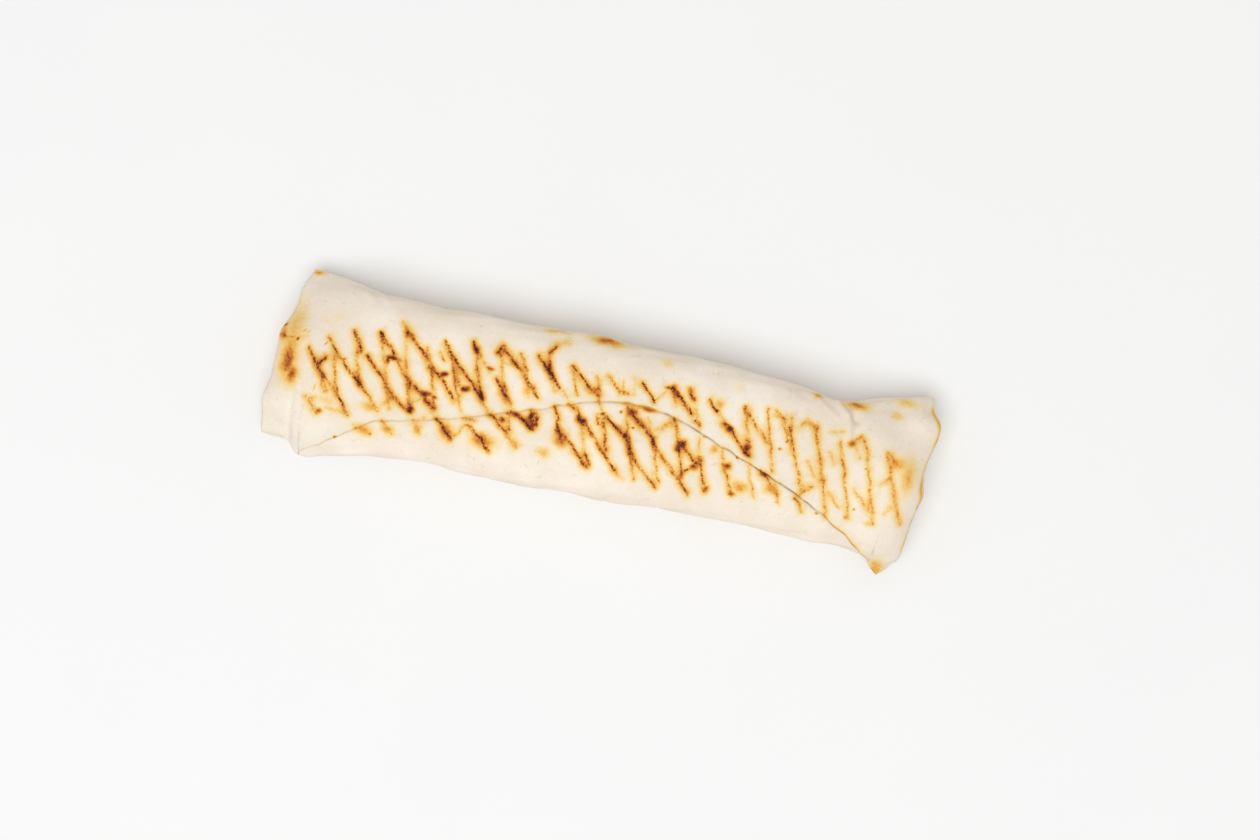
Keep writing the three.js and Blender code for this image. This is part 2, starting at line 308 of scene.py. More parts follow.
SHALLOW_BARS = [
    (-125.4, 6.5, -120, -0.4, 0.75), (-120, -0.4, -111.6, -8.8, 0.62), (-117.5, 12.4, -113.7, 7, 0.8),
    (-111.6, 5, -100.3, -4.9, 0.78), (-100.3, -4.9, -92.4, -13.2, 0.8), (-108.2, 17.3, -103.7, 10.4, 0.85),
    (-100.3, 7.9, -93.4, 1, 0.8), (-93.4, 1, -87, -6.3, 0.6), (-87, -6.3, -78.6, -11.3, 0.85),
    (-96.9, 18.3, -89.4, 10.9, 0.92), (-89.4, 9.9, -80.6, 0.1, 0.5), (-78.4, -0.4, -70.2, -7.8, 1),
    (-88.6, 24.7, -85.1, 20.3, 0.45), (-84.6, 20.3, -76.1, 12.4, 0.92), (-74.2, 8.9, -69.7, 7, 0.85),
    (-69.7, 7, -61.9, -2.9, 0.82), (-69.8, 19.8, -65.3, 14.8, 0.92), (-63.8, 13.8, -55.4, 5, 0.85),
    (-54, 3.5, -50, 0.1, 0.72), (-58, 22.5, -55.8, 19.3, 0.98), (-55.8, 19.3, -49.1, 11.9, 0.33),
    (-70.7, 15.8, -68.8, 12.9, 0.65), (-63.8, 7.9, -59.9, 4, 0.5), (-45.7, 23.2, -40.2, 18.3, 0.9),
    (-40.2, 18.3, -34.8, 12.9, 0.78), (-34.8, 12.9, -30.3, 8.9, 0.85), (-30.3, 8.9, -27.4, 5.5, 0.72),
    (-45.6, 9.4, -41.7, 4, 0.78), (-41.7, 4, -38.2, 0.1, 0.6), (-30.4, 22.7, -25.4, 17.8, 0.75),
    (-24.9, 17.8, -19.5, 10.9, 1), (-18.5, 10.4, -15.1, 7.9, 0.28), (-15.1, 20.8, -6.7, 13.4, 0.85),
    (-6.7, 13.4, -2.3, 10.9, 0.45), (0.2, 19.8, 6.1, 14.3, 0.68), (6.1, 14.3, 9.1, 14.3, 0.6),
    (14.5, 19.8, 20.9, 13.8, 0.98), (24.8, 20.3, 27.8, 20.8, 0.7), (27.8, 20.8, 36.6, 11.9, 0.96),
    (34.2, 21.7, 37.1, 17.8, 0.66), (-53, -12.8, -48.1, -16.2, 0.92), (-48.1, -16.2, -43.2, -20.7, 0.98),
    (-45.1, -5.9, -40.2, -9.3, 0.8), (-40.2, -9.3, -36.3, -12.8, 0.78), (-36.3, -12.8, -32.3, -17.2, 0.42),
    (-36.7, -2.7, -31.3, -4.9, 1), (-31.3, -4.9, -27.4, -8.3, 0.9), (-16.6, -6.8, -12.6, -8.8, 0.6),
    (-12.6, -8.8, -1.8, -19.2, 0.8), (-14.1, 5, -11.6, 4, 0.8), (-8.7, 0.1, -5.7, -1.9, 1),
    (-3.7, -3.9, 3.1, -10.8, 0.9), (3.1, -10.8, 10.5, -18.7, 0.85), (10.5, -18.7, 14, -21.2, 0.28),
    (2.2, 3, 8.1, -0.9, 0.9), (8.1, -0.9, 12.5, -4.9, 0.85), (12.5, -4.9, 15.9, -9.8, 0.6),
    (15.9, -9.8, 19.4, -14.2, 0.86), (19.4, -14.2, 28.3, -21.7, 0.78), (11, 8.4, 16.4, 3.5, 1),
    (16.4, 3.5, 23.3, -1.9, 0.78), (23.3, -1.9, 26.3, -6.3, 0.8), (28.3, -8.3, 30.7, -10.3, 0.85),
    (30.7, -10.3, 42.1, -21.7, 0.8), (36.1, -1.4, 43.5, -9.3, 0.75), (-100, -21.7, -93.6, -23.6, 0.45),
    (-89, -17.7, -84.7, -21.7, 0.6), (-76.2, -14.7, -73.3, -18.7, 0.62), (-66.8, -11.8, -62.9, -15.7, 0.85),
    (-62.9, -15.7, -60, -19.2, 0.95), (-56, -9.3, -51.5, -9.3, 0.6), (44, 18.3, 48, 14.3, 0.9),
    (48, 14.3, 51.4, 10.4, 0.36), (51.4, 9.9, 54.4, 7.9, 0.82), (54.4, 7.9, 62.2, 1, 0.7),
    (62.2, 1, 64.2, -0.9, 0.85), (59.3, 18.8, 61.3, 15.3, 0.65), (63.2, 13.8, 70.1, 6.5, 0.62),
    (72.1, 19.8, 76, 16.3, 0.5), (88.8, 2, 92.8, -3.9, 0.33), (100.7, -9.8, 105.6, -14.7, 0.4),
    (110.5, -5.9, 115.4, -11.8, 0.42), (121.3, 11.9, 126.4, 7, 0.42), (70.6, -6.8, 73.1, -8.8, 0.85),
    (73.1, -8.8, 78.5, -14.2, 0.6), (87.4, -14.7, 90.9, -19.2, 0.6), (-133.1, -1.9, -129.1, -6.4, 0.6),
    (-120.4, 1, -117.5, 4.2, 0.85), (-78.6, -8.8, -74.7, -3.9, 0.22), (38.1, -13.7, 44.5, -7.8, 0.8),
    (88.8, -12.3, 92.3, -8.3, 0.55), (83.4, 15.8, 85.9, 18.1, 0.45), (85.9, 18.1, 89.8, 16.1, 0.4),
    (96.7, 15.8, 101.7, 16.8, 0.3), (105.6, 12.4, 109.1, 16.5, 0.5), (120.3, -1.9, 123.3, 1, 0.33),
    (124.4, -13.3, 126.4, -10.8, 0.4), (-47.1, 20.8, -45.7, 23.2, 0.8), (21.4, 14.3, 24.8, 18.3, 0.3),
    (-5.7, 11.9, -2.8, 13.8, 0.42), (33.7, -4.4, 36.6, -1.2, 0.7), (26.3, 3, 28.7, 6, 0.4),
    (-60, -18.7, -55, -12.8, 0.4), (-94.4, -12.8, -89.4, -9.3, 0.28), (-25.7, 25.1, -24.1, 28.1, 0.9),
    (-122.3, -14.1, -117.5, -19.3, 0.6), (-122.2, -14.4, -118.8, -13, 0.35),
    (-113.1, -16.3, -106.6, -17, 0.3),
    (-138.8, 9.9, -136.6, 9.3, 0.5), (-136.6, 9.3, -131.2, 9.9, 0.3), (-131.2, 9.9, -126.6, 10.9, 0.2),
    (-61.4, -3.4, -57.3, 2.4, 0.3), (24.6, 2.4, 29.6, 5.4, 0.25), (-77.5, -16.2, -72.1, -12.4, 0.3),
]
STEEP_BARS = [
    (-114, 4, -110.1, -9.8, 0.6), (-110.1, -10.3, -104.3, -17.2, 0.86), (-118, -3.9, -115.1, -9.8, 0.72),
    (-105.2, 8.9, -101.7, -4.9, 0.55), (-96.4, 16.8, -93.4, 7.9, 0.4), (-92.9, 7.9, -89.4, -4.9, 0.42),
    (-89.4, -4.9, -87.5, -11.8, 0.33), (-86.6, 21.7, -84.5, 8.9, 0.4), (-84.5, 8.9, -81.5, 2, 0.33),
    (-81.5, 0.1, -78.6, -10.8, 0.75), (-76.7, 16.8, -73.7, 8.9, 0.42), (-72.7, 7, -68.8, -7.8, 0.5),
    (-65.8, 14.8, -60.9, 0.1, 0.5), (-60.9, 0.1, -57.9, -5.9, 0.42), (-56.5, 19.8, -54.5, 12.9, 0.4),
    (-54.5, 11.9, -50, 0.1, 0.66), (-51, 0.1, -47.1, -3.9, 0.33), (-46.1, 19.8, -42.2, 7, 0.5),
    (-42.2, 7, -39.2, 2, 0.4), (-37.8, 21.7, -34.3, 15.8, 0.6), (-33.8, 13.8, -31.3, 5, 0.4),
    (-26.5, 24.7, -24.5, 17.8, 0.55), (-23.5, 13.8, -21, 9.4, 0.33), (-14.6, 18.8, -11.6, 9.9, 0.5),
    (-4.3, 18.8, -1.8, 12.4, 0.48), (6.6, 18.8, 7.6, 14.8, 0.3), (11, 20.8, 12, 14.8, 0.2),
    (27.3, 20.8, 29.7, 13.8, 0.4), (35.2, 20.8, 37.1, 16.8, 0.48), (37.6, 17.8, 40.6, 7.9, 0.33),
    (39.8, 8.9, 41.6, 7.4, 0.78), (-38.2, -3.9, -36.3, -11.8, 0.52), (-28.9, -1.4, -27.4, -5.9, 0.72),
    (-26.4, -1.9, -25.4, -5.9, 0.72), (-19, 2.5, -15.6, -6.8, 0.88), (-15.6, -6.8, -14.6, -11.8, 0.58),
    (-9.7, 4, -8.2, -0.4, 0.75), (-7.7, -0.9, -3.3, -13.7, 0.42), (-3.3, -13.7, -0.8, -17.7, 0.76),
    (-1.8, 8.9, 1.7, 2, 0.5), (1.7, 0.1, 5.1, -9.8, 0.7), (-1.3, 3, -0.3, 0.1, 0.55),
    (11, 4, 15, -8.8, 0.5), (15, -9.8, 18.9, -19.7, 0.55), (19.9, 6, 21.9, 1, 0.26),
    (23.8, -3.9, 27.3, -14.7, 0.5), (27.3, -14.7, 28.8, -18.7, 0.5), (30.7, 7.9, 34.7, -1.9, 0.66),
    (35.1, -4.9, 38.1, -14.7, 0.75), (42.5, 2, 43.5, -4.9, 0.33), (44, -5.9, 49, -19.2, 0.76),
    (52.9, -0.9, 54.4, -5.9, 0.4), (54.4, -5.9, 60.3, -18.7, 0.66), (65.2, -4.9, 68.2, -14.7, 0.45),
    (68.2, -14.7, 69.7, -17.7, 0.3), (78, -10.8, 80.5, -18.2, 0.33), (58.8, 18.8, 62.2, 5, 0.45),
    (62.7, 5, 63.7, 1, 0.62), (68.2, 19.8, 75, -4.9, 0.6), (75.1, 16.8, 78.5, 8.9, 0.5),
    (78.5, 18.8, 80, 13.8, 0.36), (79, 13.8, 82.9, 3, 0.72), (82.9, 3, 88.3, -9.8, 0.52),
    (89.3, 16.3, 93.7, 3, 0.52), (93.7, 3, 96.7, -5.9, 0.62), (96.7, -5.9, 100.7, -19.2, 0.5),
    (97.7, 7, 99.7, 3, 0.33), (100.6, 11.9, 104.6, 0.1, 0.58), (104.6, 0.1, 110.1, -18.2, 0.54),
    (107.5, 10.9, 110, 7, 0.3), (110.5, 14.8, 112.5, 10.9, 0.45), (112.5, 10.9, 115.4, 0.1, 0.42),
    (115.4, 0.1, 121, -18.7, 0.46), (121.3, 9.9, 123.3, 6, 0.46), (123.3, 6, 126.9, -4.9, 0.42),
    (126.9, -4.9, 132, -16.3, 0.5), (117.4, -7.8, 117.9, -13.7, 0.36),
]
# Patches scorched between the bars: x, y, half length along x and y, how hard.
PATCHES = [
    (-133.1, 0, 3.2, 6.5, 0.75), (-130.8, -5.6, 2.4, 4, 0.7), (-89.9, 9.2, 3, 1, 1),
    (-91.7, 7.7, 0.9, 1.3, 1), (-73.7, -2.5, 2.72, 1.27, 0.85), (-69.7, -3.3, 1.36, 0.77, 0.85),
    (-67.6, 7, 1.5, 1, 1), (-57.7, 2.6, 1.6, 1.1, 1), (-96.5, -22.5, 3.2, 2, 0.5),
    (-86.6, -20.2, 2.4, 1.5, 0.5), (-74.2, -17.7, 1.8, 2, 0.45), (-20.5, -16.7, 2.6, 1.6, 0.42),
    (-14.6, -10.3, 3, 2.6, 0.5), (-33.3, -15.7, 2.2, 2.4, 0.4), (-46.1, -17.2, 4.6, 2.8, 0.55),
    (-61.9, -16.2, 3, 3, 0.4), (-34.8, -3.5, 2.04, 1.2, 0.85), (-28.4, -2.9, 1.1, 1.6, 0.85),
    (-25.7, -3.9, 0.68, 1.44, 0.85), (-40.2, -6.8, 1.6, 1.4, 0.8), (-7, -0.6, 1.5, 1.2, 1),
    (12.5, 7.2, 2.4, 2.1, 0.75), (19.2, 9.4, 3, 0.9, 0.8), (10, 9.7, 2, 0.8, 0.5),
    (63.2, -14.7, 3, 2.2, 0.55), (56.3, -7.1, 1.7, 1.5, 0.8), (60.3, -18.2, 1.3, 1, 0.8),
    (105.6, 12.5, 1.6, 1.5, 0.72), (131.8, 1, 2, 4.6, 0.32), (124.8, 8.4, 3, 2.2, 0.4),
    (73.1, 17.8, 2.6, 1.4, 0.42), (60.3, 17.3, 2, 2.2, 0.38), (48, 17.8, 2, 2, 0.42),
    (86.9, 17.3, 2.4, 1.2, 0.3), (-3.8, 12.9, 2.6, 1.6, 0.45), (53.9, 8.3, 1.4, 1.2, 0.8),
    (62.9, 2.2, 1.3, 1.4, 0.85), (80.9, 7.4, 1.5, 3, 0.5), (49.5, -18.2, 1.3, 1.6, 0.75),
    (76, -12.8, 2.6, 2, 0.5), (49.4, -1.4, 1.6, 1.6, 0.5), (-44.2, 21.2, 2.8, 1.8, 0.4),
    (-32.3, 7.9, 1.8, 2.6, 0.42), (-40.2, 2, 1.6, 2.2, 0.5), (-113.6, -13.2, 4, 1.6, 0.25),
    (-95.4, -12.4, 3, 1.8, 0.45), (-78.6, -10.1, 1.6, 1.2, 0.85), (42.5, -10.3, 1.8, 1.4, 0.85),
    (37.6, -15.2, 1.4, 2, 0.7), (11.8, -3.5, 1.3, 1.2, 0.85), (0.7, 4, 1.2, 0.9, 0.9),
    (95.7, -3.9, 1.3, 2.5, 0.35), (119.5, -18.7, 2, 1, 0.35), (109.1, -18.2, 0.9, 0.9, 0.55),
    (13.5, 9.7, 5.5, 1.2, 0.42), (79.8, -17.7, 0.9, 0.7, 0.5), (-49.1, 13.3, 1.4, 0.8, 0.95),
    (-116.2, -18.7, 1.4, 0.9, 0.85),
    (-110.1, 4.8, 1.1, 0.5, 0.9), (-119.7, -9.1, 0.5, 1, 0.5), (71.6, -7.8, 1.8, 1, 0.8),
]
# Scorched specks, mostly where the free edge or a blister stood proud: x, y, size.
SPECKS = [
    (-127, 13.4, 0.55), (-107.7, -27.7, 0.7), (59.3, -3, 0.65), (87.1, -15.1, 0.85), (96.6, -19, 0.65),
    (76.3, 4.8, 0.8), (78.4, 7.9, 0.7), (7.8, 6.2, 0.75), (14.2, 1, 0.6), (111.8, -14.2, 0.55),
    (139, -8.5, 0.7), (-130.6, 9.8, 0.5), (-137.6, 14.2, 0.6), (-128.8, 13.4, 0.5), (44.5, 3, 0.6),
    (-99.7, -22.5, 0.6), (-25.5, 25.3, 0.55),
    (113.6, 3.6, 0.5), (103.6, 3.4, 0.5), (-118.5, 9.4, 0.4), (36.5, 18, 0.6), (-93.6, -23.4, 0.5),
]
# Toasted on the bake stone long before the grill: x, y, half sizes, how brown.
OVEN_SPOTS = [
    (-25.8, 35.2, 4.6, 1.6, 0.5), (-3.4, 34.6, 6, 1.5, 0.72), (0.1, 33.5, 4, 1.2, 0.4),
    (88.1, 30.1, 1.8, 1.4, 0.55), (105.4, 29, 4, 1.5, 0.7), (126.2, 34.1, 4.4, 1.5, 0.36),
    (123.1, 28, 2, 1.6, 0.32), (-20.1, 30.2, 2.4, 1.5, 0.3), (23.4, 30.2, 2, 1.4, 0.26),
    (-133.1, 15.9, 3.4, 7, 0.3), (-137.9, 12, 1.6, 4, 0.42), (130.6, 6.5, 4, 5, 0.26),
    (-130.2, 38.9, 2.2, 0.9, 0.6), (-115.2, 22.2, 2.6, 1.3, 0.12), (-120, 18.8, 2.2, 1.2, 0.1),
    (55.4, 25.7, 1.6, 1.4, 0.12),
]
TIP_SPOT = (127.8, -37.6, 2.6, 3.0, 0.5)  # the loose corner dried out and browned

FELT = 8.0  # how far from a bar its marks are worked out at all
HEAT_REACH, WARMTH_REACH = 3.2, 2.3  # how far the browning and the faint gold round it spread
EVENED = 0.85  # under 1, this brings the weak bars up towards the strong ones
MIDDLE, AWAY = 0.75, 1.6  # half width that counts as a bar's middle, and the slope from there outwards


def bar_fields(x, y, bars):
    """Signed distance from the nearest bar, the same unsigned but none at a bar's middle, how hard the bar
    was burnt there, and the warmth around all of them."""
    nearest = np.full_like(x, 99.0)
    offset = np.full_like(x, 9.0)
    burn = np.zeros_like(x)
    warmth = np.zeros_like(x)
    for x0, y0, x1, y1, hard in bars:
        in_x = (x > min(x0, x1) - FELT) & (x < max(x0, x1) + FELT)
        in_y = (y > min(y0, y1) - FELT) & (y < max(y0, y1) + FELT)
        close = np.flatnonzero(in_x & in_y)
        distance, aside = to_segment(x[close], y[close], x0, y0, x1, y1)
        warmth[close] += hard * np.exp(-((distance / WARMTH_REACH) ** 2))
        closer = distance < nearest[close]
        at = close[closer]
        nearest[at] = distance[closer]
        side = np.where(aside[closer] < 0, -1.0, 1.0)
        offset[at] = side * distance[closer]
        burn[at] = hard**EVENED * np.exp(-((distance[closer] / HEAT_REACH) ** 2))
    apart = np.minimum(nearest, np.maximum(0, AWAY * (nearest - MIDDLE)))
    return offset, apart, burn, np.minimum(warmth, 1.3)


def patch_field(x, y, patches):
    """The strongest of some soft oval patches at each place."""
    total = np.zeros_like(x)
    for px, py, rx, ry, hard in patches:
        reach = ((x - px) / rx) ** 2 + ((y - py) / ry) ** 2
        total = np.maximum(total, hard * np.exp(-0.7 * reach))
    return total


PRESSED = 128  # the lower plate's bars reach this far from the middle
COLD_GAP = 0.12  # longest unburnt gap in a bar, as a share of it


def underside_bars(seed):
    """The lower plate's bars: the same two directions, one bar after another, with cold gaps in them."""
    draw = np.random.default_rng(seed)
    shallow, steep = [], []
    for bars, pitch, run, hard in ((shallow, 12.2, (27, -26), 0.8), (steep, 10.4, (10, -34), 0.55)):
        for at in np.arange(-PRESSED, PRESSED, pitch):
            start = at + draw.normal(0, 1.2)
            done = draw.uniform(0.0, COLD_GAP)
            while done < 0.95:
                upto = min(1.0, done + draw.uniform(0.12, 0.4))
                ends = [(start + run[0] * (u - 0.5), -run[1] * (0.5 - u) + 1) for u in (done, upto)]
                bars.append((*ends[0], *ends[1], hard * draw.uniform(0.5, 1.2)))
                done = upto + draw.uniform(0.0, COLD_GAP)
    return shallow, steep


# ---- The mesh of the roll ----

STATIONS = 376  # along the roll, about 0.75 mm apart
OVER, UNDER, UP = 84, 84, 62  # columns over the crown, under the roll, and up the near side to the free edge
LIP = 6  # steps round the sheet's cut edge
SLOT_STEPS = 4
DENSE = 1600  # angles at which the section's arc is measured
EVEN = 0.45  # share of even spacing between columns; the rest bunches them at the free edge
SMALLEST = 0.02  # least length of the slot and of the near flank's last step
# The stretches of columns round the section, in order, and how many columns each has.
STRETCHES = {
    "crown": OVER,
    "underside": UNDER,
    "near flank": UP,
    "slot floor": SLOT_STEPS + 1,
    "slot roof": SLOT_STEPS + 1,
    "cut edge": LIP - 1,
}


def section_arcs():
    """Shares along the roll, the free edge's angle and x there, and each section's arc length by angle."""
    even = np.linspace(0, 1, STATIONS + 1)
    share = lerp(even, (1 - np.cos(np.pi * even)) / 2, 0.3)
    edges, edge_x = edge_angle(share)
    dense = np.linspace(math.pi, -2 * math.pi, DENSE)
    _, y, z, *_ = skin(share[:, None] + 0 * dense[None, :], dense[None, :] + 0 * share[:, None])
    steps = np.hypot(np.diff(y, axis=1), np.diff(z, axis=1))
    arc = np.concatenate([np.zeros((len(share), 1)), np.cumsum(steps, axis=1)], axis=1)
    return share, edges, edge_x, dense, arc


def bunched(steps):
    """Steps from 0 to 1 that lie closer together near 0."""
    return EVEN * steps + (1 - EVEN) * steps**2


def plan_columns():
    """Angle of every column of each section, and its distance round from the free edge. The loop starts at
    the edge, goes over the crown, under the roll and up its near side, runs in below the edge and back."""
    share, edges, edge_x, dense, arc = section_arcs()
    over = bunched(np.linspace(0, 1, OVER + 1)[:-1])
    under = np.linspace(0, 1, UNDER + 1)[:-1]
    up = 1 - bunched(1 - np.linspace(0, 1, UP + 1)[:-1])
    slot = np.linspace(0, 1, SLOT_STEPS + 1)
    angles, depth = [], []
    for edge, x, row in zip(edges, edge_x, arc):
        start, far, near, end = np.interp([-edge, 0, math.pi, 2 * math.pi - edge], -dense, row)
        run_in = SLOT * open_share(x) + SMALLEST
        reached = max(end, near + SMALLEST)
        inwards = reached + run_in * slot
        outwards = start + run_in * slot[::-1]
        crown = start + (far - start) * over
        below = far + (near - far) * under
        flank = near + (reached - near) * up
        lip = np.full(LIP - 1, start)
        angles.append(np.interp(np.concatenate([crown, below, flank, inwards, outwards, lip]), row, dense))
        from_start = [crown - start, below - start, flank - end, inwards - end, outwards - start, 0 * lip]
        depth.append(np.concatenate(from_start))
    return share, np.array(angles), np.array(depth), edge_x


def open_share(x):
    """1 where the free edge is loose, 0 where it has died into an end."""
    (a, b), (c, d) = EDGE_FADES
    return float(smooth(x, a, b) * (1 - smooth(x, c, d)))


def tip_out(x):
    """How far the loose corner of the sheet stands out at x."""
    before = np.clip(1 - (EDGE_TIP["at"] - x) / EDGE_TIP["before"], 0, 1)
    after = np.clip(1 - (x - EDGE_TIP["at"]) / EDGE_TIP["after"], 0, 1)
    return EDGE_TIP["out"] * np.where(x < EDGE_TIP["at"], before, after)


BAR_WIDTH, BAR_BITE, DEEPEST = 1.1, 0.42, 1.2  # half width and depth of a bar's groove, and where bars cross
CURL = 2.6  # the loose edge lifts over this distance from itself
LIFT, LEAST_LIFT, MOST_LIFT, CORNER_LIFT = 0.28, 0.05, 0.8, 0.5
GAP_SHUT, GAP_LOOSE = 0.02, 0.14  # the gap under the edge where it is held, and what it opens by
HELD_THICKNESS = 0.03  # of the step that is left where the edge has died into an end
SHEET_ENDS = (math.radians(-100), math.radians(-50))  # the outer turn comes up from the underside here
THINNED = 8.0  # near the folded ends the sheet thins out over this distance from its edge
RAGGED = (12, 4.5, 0.3)  # the torn look of the free edge: seed, length and height
TORN = 1.5  # and how far in from the edge it reaches


def press_bars(x, y, on_top):
    """How deep the bars bit into the crown."""
    depth = 0
    for bars in (SHALLOW_BARS, STEEP_BARS):
        offset, _, burn, _ = bar_fields(x.ravel(), y.ravel(), bars)
        depth = depth + (burn * np.exp(-((offset / BAR_WIDTH) ** 2))).reshape(x.shape)
    return BAR_BITE * np.minimum(depth, DEEPEST) * on_top


def roll_mesh():
    """Points of the roll by section and column, how far each looks up, its distance from the free edge
    (less than 0 on the side below the edge), and how loose the edge is there."""
    share, angles, depth, edge_x = plan_columns()
    kinds = np.repeat(list(STRETCHES), list(STRETCHES.values()))
    t = np.repeat(share[:, None], angles.shape[1], axis=1)
    x, y, z, ny, nz, tall = skin(t, angles)
    loose = np.array([open_share(v) for v in edge_x])[:, None]
    wander = ripples(11, 13, edge_x)[:, None]
    curl = loose * np.clip(LIFT + 0.3 * wander, LEAST_LIFT, MOST_LIFT)
    curl = curl + CORNER_LIFT * loose * smooth(edge_x, 96, 112)[:, None]
    gap = GAP_SHUT + GAP_LOOSE * loose
    thick = lerp(HELD_THICKNESS, SHEET, loose)
    from_edge = np.abs(depth)
    lift = curl * np.exp(-((from_edge / CURL) ** 2))
    rise = smooth(angles, *SHEET_ENDS)
    full = lerp(SHEET, thick, np.exp(-((from_edge / THINNED) ** 2)))
    offset = np.where(kinds == "crown", full + lift, 0)
    offset = np.where(kinds == "underside", full * rise, offset)
    offset = np.where(kinds == "slot roof", gap + lift, offset)
    slot_end = np.flatnonzero(kinds == "slot floor")[-1]
    offset[:, slot_end] = 0.25 * gap[:, 0]
    offset[:, slot_end + 1] = 0.75 * gap[:, 0] + lift[:, slot_end + 1]
    out = relief(x, y, angles) * tall
    bite = press_bars(x, y, smooth(nz, 0.25, 0.7))
    move = offset + out - bite
    py, pz = y + ny * move, z + nz * move
    for k, col in enumerate(np.flatnonzero(kinds == "cut edge")):
        # Half a circle round the cut edge, which looks across the surface towards the near side.
        turn = math.pi * (k + 1) / LIP
        half = (thick - gap)[:, 0] / 2
        along_out = half * 0.9 * math.sin(turn)
        up = gap[:, 0] + lift[:, col] + half - half * math.cos(turn)
        shift = up + out[:, col] - bite[:, col]
        py[:, col] = y[:, col] + ny[:, col] * shift - nz[:, col] * along_out
        pz[:, col] = z[:, col] + nz[:, col] * shift + ny[:, col] * along_out
    outer = np.isin(kinds, ("crown", "slot roof", "cut edge"))
    ragged = bumps(RAGGED, edge_x)[:, None] * loose * np.exp(-from_edge / TORN)
    corner = tip_out(edge_x)[:, None] * np.clip(1 - from_edge / EDGE_TIP["reach"], 0, 1) ** 1.6
    py = py + np.where(outer, ragged - corner, 0)
    pz = np.maximum(pz + np.where(outer, 0.25 * corner, 0), 0)
    return np.stack([x, py, pz], axis=-1), nz, np.where(outer, from_edge, -from_edge), loose + 0 * x


END_LAYERS = 6  # folded layers that lie on each other at an end
LAYER_ROWS = 6  # rows of faces to each
WAVE = 0.035  # how far the creases between layers wander, as a share of the end's height
NOSE = 2.2  # how deep the creases between the layers run in
FULL_HEIGHT = 11.0  # where an end is lower than this its layers flatten out


def end_cap(points, side):
    """Closes one end: the folded layers of the sheet lie on each other, each with its own rounded nose."""
    ring = points[0 if side < 0 else -1]
    top = ring[: OVER + 1]  # from the near corner over the crown to the far corner
    lowest = ring[[OVER + UNDER - j for j in range(OVER + 1)]]
    rows = END_LAYERS * LAYER_ROWS
    grid = np.zeros((rows - 1, OVER + 1, 3))
    y = top[:, 1]
    full = np.clip((top[:, 2] - lowest[:, 2]) / FULL_HEIGHT, 0, 1)
    draw = np.random.default_rng(70 + side)
    shares = np.cumsum(draw.uniform(0.7, 1.3, END_LAYERS))
    shares = np.concatenate([[0], shares / shares[-1]])
    seed = 9 * (side > 0)
    for k in range(1, rows):
        layer, part = divmod(k, LAYER_ROWS)
        u = part / LAYER_ROWS
        wave = WAVE * ripples(80 + layer + seed, 22, y) if layer else 0
        below = WAVE * ripples(81 + layer + seed, 22, y) if layer + 1 < END_LAYERS else 0
        share = lerp(shares[layer] + wave, shares[layer + 1] + below, u)
        nose = np.sqrt(np.clip(1 - (2 * u - 1) ** 2, 0, 1))
        stands = 0.45 + 0.5 * ripples(95 + layer + seed, 26, y)
        out = (-NOSE + (NOSE + stands) * nose) * full
        point = lerp(top, lowest, (share + 0 * y)[:, None])
        point[:, 0] = lerp(top[:, 0], lowest[:, 0], k / rows) + side * out
        grid[k - 1] = point
    return grid


def build_wrap(material):
    points, nz, edge, loose = roll_mesh()
    rows, columns = points.shape[:2]
    index = np.arange(rows * columns).reshape(rows, columns)
    right = np.roll(index, -1, axis=1)
    faces = np.stack([index[:-1], index[1:], right[1:], right[:-1]], axis=-1).reshape(-1, 4).tolist()
    vertices = [points.reshape(-1, 3)]
    total = rows * columns
    far_columns = [OVER + UNDER - j for j in range(OVER + 1)]
    for side, row in ((-1, 0), (1, rows - 1)):
        grid = end_cap(points, side)
        steps, wide = grid.shape[:2]
        inner = total + np.arange(steps * wide).reshape(steps, wide)
        inner[:, 0], inner[:, -1] = index[row, 0], index[row, OVER]
        vertices.append(grid.reshape(-1, 3))
        total += steps * wide
        net = np.vstack([index[row, : OVER + 1], inner, index[row, far_columns]])
        cap = np.stack([net[:-1, :-1], net[:-1, 1:], net[1:, 1:], net[1:, :-1]], axis=-1).reshape(-1, 4)
        faces += [list(dict.fromkeys(face)) for face in cap.tolist()]
    everything = np.vstack(vertices)
    mesh = bpy.data.meshes.new("flatbread_wrap")
    mesh.from_pydata((everything * MM).tolist(), [], [face for face in faces if len(face) > 2])
    for name, values in browning(everything, nz.ravel(), edge.ravel(), loose.ravel()).items():
        mesh.attributes.new(name, "FLOAT", "POINT").data.foreach_set("value", values.astype(np.float32))
    tidy = bmesh.new()
    tidy.from_mesh(mesh)
    bmesh.ops.delete(tidy, geom=[v for v in tidy.verts if not v.link_faces], context="VERTS")
    bmesh.ops.remove_doubles(tidy, verts=tidy.verts, dist=0.03 * MM)
    bmesh.ops.recalc_face_normals(tidy, faces=tidy.faces)
    for face in tidy.faces:
        face.smooth = True
    tidy.to_mesh(mesh)
    tidy.free()
    mesh.materials.append(material)
    wrap = bpy.data.objects.new("flatbread_wrap", mesh)
    bpy.context.scene.collection.objects.link(wrap)
    return wrap


BLISTERS = 44  # on each flank
STRAYS = ((62, 4.0, 0.28), (63, 4.0, 0.28))  # how the marks wander off their lines along x and y
# Where each kind of browning takes, by how far the skin looks up (1) or down (-1).
CROWN_BROWNS, SEEN_BROWNS = (0.28, 0.72), (-0.02, 0.3)
UNDERSIDE_BROWNS, FLANK_STOPS = (0.45, 0.85), (0.6, 0.85)
SPECK_HARD = 0.9
CORNER_END = (96, 110)  # the free edge is drier and browner past these
EDGE_TOAST = (0.08, 0.42)  # how brown the free edge is before and past them
SEAM_BELOW, SEAM_ABOVE = 0.55, 0.25  # reach of the darker line of contact, each side of the edge: painted contact shade of the gap under the edge, partly a browned edge
SEAM_DARK = (0.32, 0.82)  # and how dark it is towards either end
